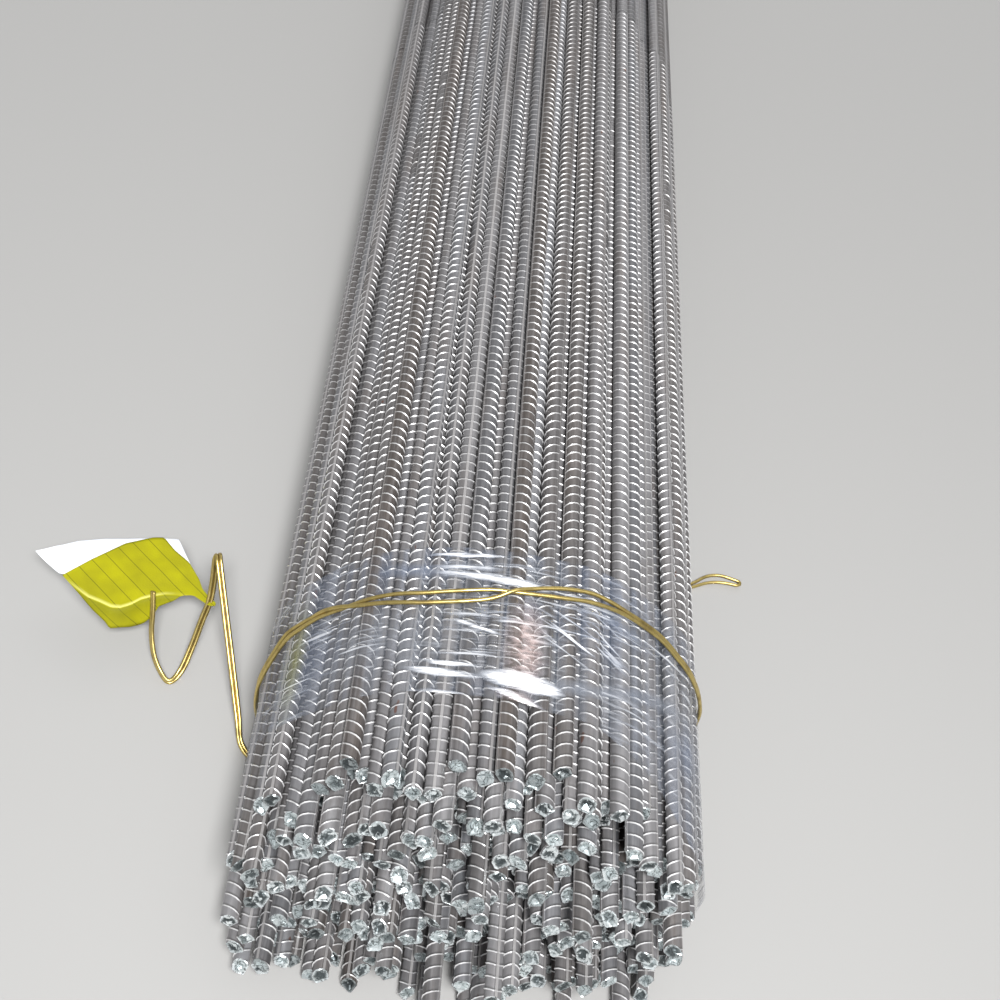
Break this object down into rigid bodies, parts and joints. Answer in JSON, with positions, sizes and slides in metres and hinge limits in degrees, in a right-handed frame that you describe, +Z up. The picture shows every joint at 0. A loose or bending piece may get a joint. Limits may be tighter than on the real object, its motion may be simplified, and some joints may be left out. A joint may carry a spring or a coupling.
{
  "type": "rebar bundle",
  "caption": "Long bundle of ribbed steel reinforcing bars with staggered ends, tied by doubled wire over clear stretch film bands, with a paper tag on the wire's tail.",
  "frame": {"origin": "on the floor under the middle of the bundle's width, level with the foremost bar end", "axes": "+Y along the bars from the near end to the far end, +Z up, +X across"},
  "size_m": [0.6107, 6.1324, 0.2269],
  "materials": {
    "bar_steel": "mill finish, dull grey",
    "stretch_film": "clear stretch film",
    "brass_wire": "brass coloured tie wire",
    "tag_white": "white coated paper",
    "tag_yellow": "yellow paper"
  },
  "bodies": {
    "root": {"bars_layer_01": "bar_steel", "bars_layer_02": "bar_steel", "bars_layer_03": "bar_steel", "bars_layer_04": "bar_steel", "bars_layer_05": "bar_steel", "bars_layer_06": "bar_steel", "bars_layer_07": "bar_steel", "bars_layer_08": "bar_steel", "bars_layer_09": "bar_steel", "bars_layer_10": "bar_steel", "bars_layer_11": "bar_steel", "bars_layer_12": "bar_steel", "bars_layer_13": "bar_steel", "bars_layer_14": "bar_steel", "bars_layer_15": "bar_steel", "bars_layer_16": "bar_steel", "bars_layer_17": "bar_steel", "bars_layer_18": "bar_steel", "bars_layer_19": "bar_steel", "film_band_1": "stretch_film", "film_band_2": "stretch_film", "film_band_3": "stretch_film", "tag_white": "tag_white", "tag_yellow": "tag_yellow", "tie_wire_1": "brass_wire", "tie_wire_2": "brass_wire", "tie_wire_3": "brass_wire"}
  },
  "joints": []
}
